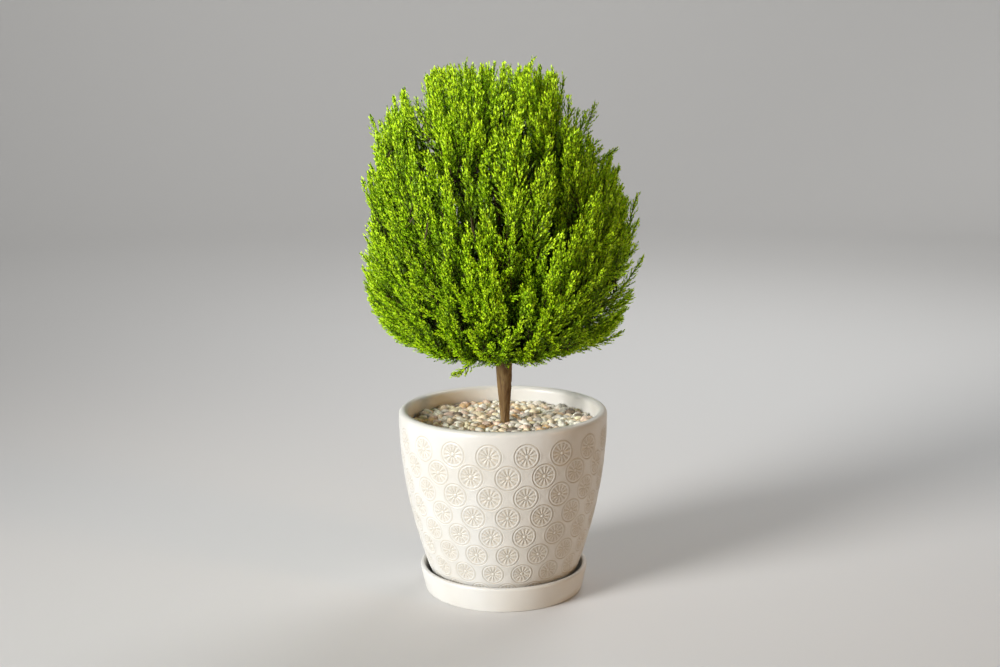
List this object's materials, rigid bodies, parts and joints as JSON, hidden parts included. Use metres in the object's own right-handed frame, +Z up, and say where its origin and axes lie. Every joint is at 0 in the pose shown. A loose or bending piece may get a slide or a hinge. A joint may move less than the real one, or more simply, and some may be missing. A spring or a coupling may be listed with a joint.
{
  "type": "potted conifer topiary",
  "caption": "Small conifer clipped to an egg-shaped head on a short bare stem, dressed with gravel in an embossed ceramic pot that stands in its saucer.",
  "frame": {"origin": "middle of the flat underside of the saucer, on the surface that the pot stands on", "axes": "+Z up along the pot and the stem; -Y towards the side that is seen in the picture; +X to the right seen from there"},
  "size_m": [0.1981, 0.1969, 0.3904],
  "materials": {
    "ceramic": "satin",
    "potting_soil": "matte",
    "gravel": "matte",
    "bark": "matte",
    "twig": "matte",
    "foliage": "matte"
  },
  "bodies": {
    "root": {"saucer": "ceramic", "pot": "ceramic", "soil": "potting_soil", "gravel": "gravel", "trunk": "bark", "bough_skirt_1": "twig", "bough_skirt_2": "twig", "bough_skirt_3": "twig", "bough_skirt_4": "twig", "bough_skirt_5": "twig", "bough_skirt_6": "twig", "bough_skirt_7": "twig", "bough_waist_1": "twig", "bough_waist_2": "twig", "bough_waist_3": "twig", "bough_waist_4": "twig", "bough_waist_5": "twig", "bough_waist_6": "twig", "bough_waist_7": "twig", "bough_shoulder_1": "twig", "bough_shoulder_2": "twig", "bough_shoulder_3": "twig", "bough_shoulder_4": "twig", "bough_shoulder_5": "twig", "bough_shoulder_6": "twig", "bough_top_1": "twig", "bough_top_2": "twig", "bough_top_3": "twig", "bough_top_4": "twig", "foliage_skirt_1": "foliage", "foliage_skirt_2": "foliage", "foliage_skirt_3": "foliage", "foliage_skirt_4": "foliage", "foliage_skirt_5": "foliage", "foliage_skirt_6": "foliage", "foliage_skirt_7": "foliage", "foliage_waist_1": "foliage", "foliage_waist_2": "foliage", "foliage_waist_3": "foliage", "foliage_waist_4": "foliage", "foliage_waist_5": "foliage", "foliage_waist_6": "foliage", "foliage_waist_7": "foliage", "foliage_shoulder_1": "foliage", "foliage_shoulder_2": "foliage", "foliage_shoulder_3": "foliage", "foliage_shoulder_4": "foliage", "foliage_shoulder_5": "foliage", "foliage_shoulder_6": "foliage", "foliage_top_1": "foliage", "foliage_top_2": "foliage", "foliage_top_3": "foliage", "foliage_top_4": "foliage", "foliage_peak": "foliage"}
  },
  "joints": []
}
